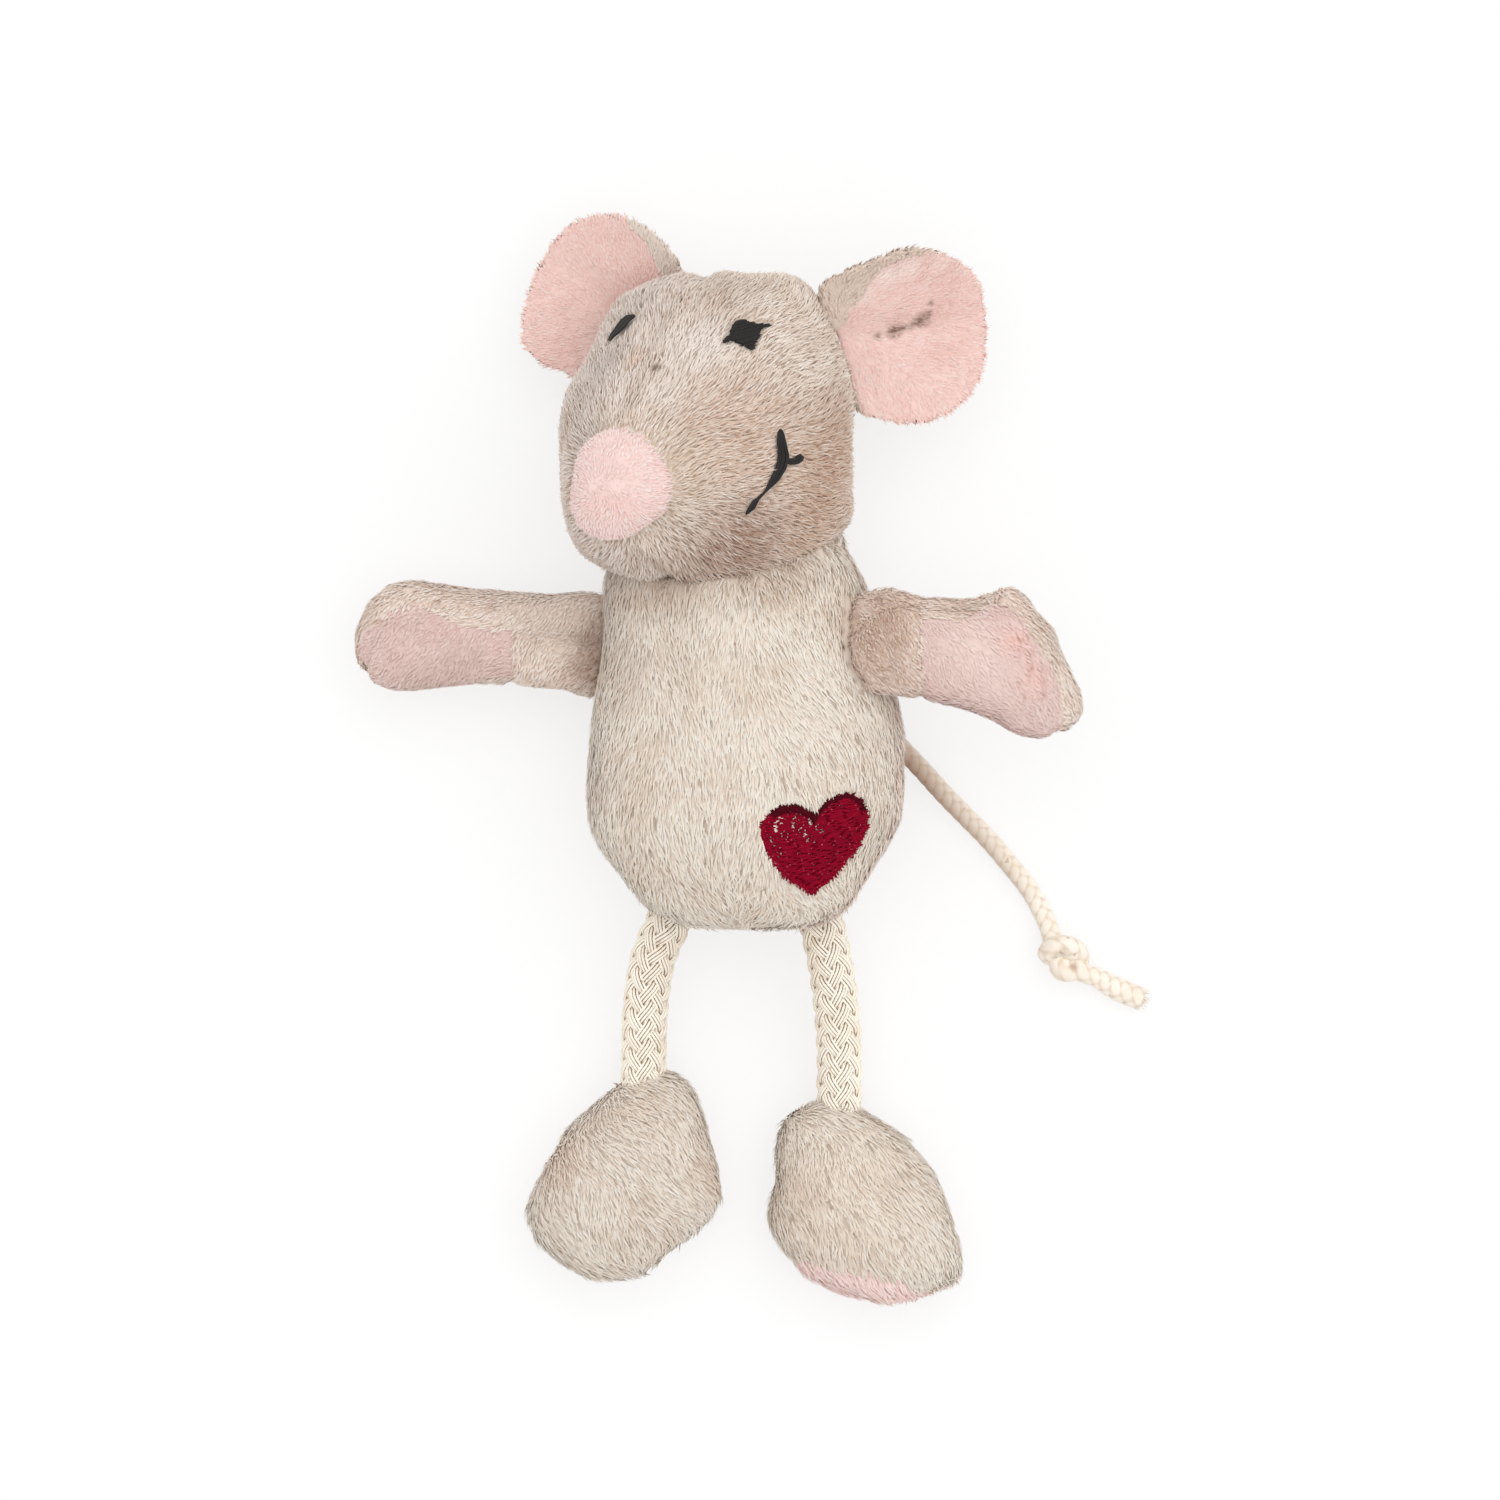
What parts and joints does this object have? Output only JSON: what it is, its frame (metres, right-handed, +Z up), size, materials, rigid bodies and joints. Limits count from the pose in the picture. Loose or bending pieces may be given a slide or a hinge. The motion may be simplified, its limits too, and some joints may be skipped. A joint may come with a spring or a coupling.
{
  "type": "plush mouse cat toy",
  "caption": "Stuffed plush mouse on its back: head with folding ears, soft body, arms, cord legs with stuffed feet, knotted cord tail, embroidered face and heart.",
  "frame": {"origin": "on the ground under the middle of the toy's bounding box, measured without the tail", "axes": "+Z up out of the belly as the toy lies on its back, +Y towards the head, +X to the side the tail leaves"},
  "size_m": [0.1088, 0.151, 0.0493],
  "materials": {
    "grey_plush": "short matted pile",
    "cream_plush": "short matted pile",
    "pink_plush": "short brushed pile",
    "stuffing": "loose fibre",
    "black_thread": "satin embroidery",
    "red_thread": "satin embroidery",
    "cotton_cord": "braided cotton"
  },
  "bodies": {
    "torso": {"body_front_panel": "cream_plush", "body_back_panel": "grey_plush", "body_stuffing": "stuffing", "heart_patch": "red_thread"},
    "head": {"head_left_panel": "grey_plush", "head_right_panel": "grey_plush", "nose_cap": "pink_plush", "head_stuffing": "stuffing", "eye_right": "black_thread", "eye_left": "black_thread", "mouth_right": "black_thread", "mouth_left": "black_thread"},
    "ear_left": {"ear_left_front": "pink_plush", "ear_left_back": "grey_plush"},
    "ear_right": {"ear_right_front": "pink_plush", "ear_right_back": "grey_plush"},
    "arm_left": {"arm_left_front": "grey_plush", "palm_left": "pink_plush", "arm_left_back": "grey_plush", "arm_left_stuffing": "stuffing"},
    "arm_right": {"arm_right_front": "grey_plush", "palm_right": "pink_plush", "arm_right_back": "grey_plush", "arm_right_stuffing": "stuffing"},
    "leg_left": {"leg_cord_left": "cotton_cord"},
    "leg_right": {"leg_cord_right": "cotton_cord"},
    "foot_left": {"foot_left_upper": "grey_plush", "foot_left_sole": "pink_plush", "foot_left_stuffing": "stuffing"},
    "foot_right": {"foot_right_upper": "grey_plush", "foot_right_sole": "pink_plush", "foot_right_stuffing": "stuffing"},
    "tail": {"tail_cord": "cotton_cord", "tail_knot": "cotton_cord", "tail_end": "cotton_cord"}
  },
  "joints": [
    {"name": "head_turn", "type": "hinge", "parent": "torso", "child": "head", "pos_m": [0.001, 0.02713, 0.018], "axis": [-0.0845, 0.9666, 0.2421], "range_deg": [-25, 25], "stiffness_Nm_per_rad": 0.02},
    {"name": "ear_left_fold", "type": "hinge", "parent": "head", "child": "ear_left", "pos_m": [-0.01305, 0.06128, 0.0092], "axis": [0.6587, 0.6975, 0.2822], "range_deg": [-20, 30], "stiffness_Nm_per_rad": 0.003},
    {"name": "ear_right_fold", "type": "hinge", "parent": "head", "child": "ear_right", "pos_m": [0.01803, 0.05807, 0.02049], "axis": [0.0607, -0.9071, -0.4166], "range_deg": [-20, 30], "stiffness_Nm_per_rad": 0.003},
    {"name": "shoulder_left", "type": "hinge", "parent": "torso", "child": "arm_left", "pos_m": [-0.0175, 0.01598, 0.01268], "axis": [0, 1, 0], "range_deg": [-10, 70], "stiffness_Nm_per_rad": 0.006},
    {"name": "shoulder_right", "type": "hinge", "parent": "torso", "child": "arm_right", "pos_m": [0.02051, 0.01553, 0.02691], "axis": [0.1349, -0.9454, 0.2968], "range_deg": [-10, 70], "stiffness_Nm_per_rad": 0.006},
    {"name": "hip_left", "type": "hinge", "parent": "torso", "child": "leg_left", "pos_m": [-0.0085, -0.025, 0.012], "axis": [-1, 0, 0], "range_deg": [-60, 90], "deforming": ["leg_cord_left"]},
    {"name": "hip_right", "type": "hinge", "parent": "torso", "child": "leg_right", "pos_m": [0.0153, -0.025, 0.012], "axis": [-1, 0, 0], "range_deg": [-60, 90], "deforming": ["leg_cord_right"]},
    {"name": "ankle_left", "type": "hinge", "parent": "leg_left", "child": "foot_left", "pos_m": [-0.0107, -0.0445, 0.0079], "axis": [-1, 0, 0], "range_deg": [-20, 40]},
    {"name": "ankle_right", "type": "hinge", "parent": "leg_right", "child": "foot_right", "pos_m": [0.0167, -0.0485, 0.0079], "axis": [-1, 0, 0], "range_deg": [-20, 40]},
    {"name": "tail_swing", "type": "hinge", "parent": "torso", "child": "tail", "pos_m": [0.0223, 0.00433, 0.0082], "axis": [0, 0, 1], "range_deg": [-15, 40]}
  ]
}
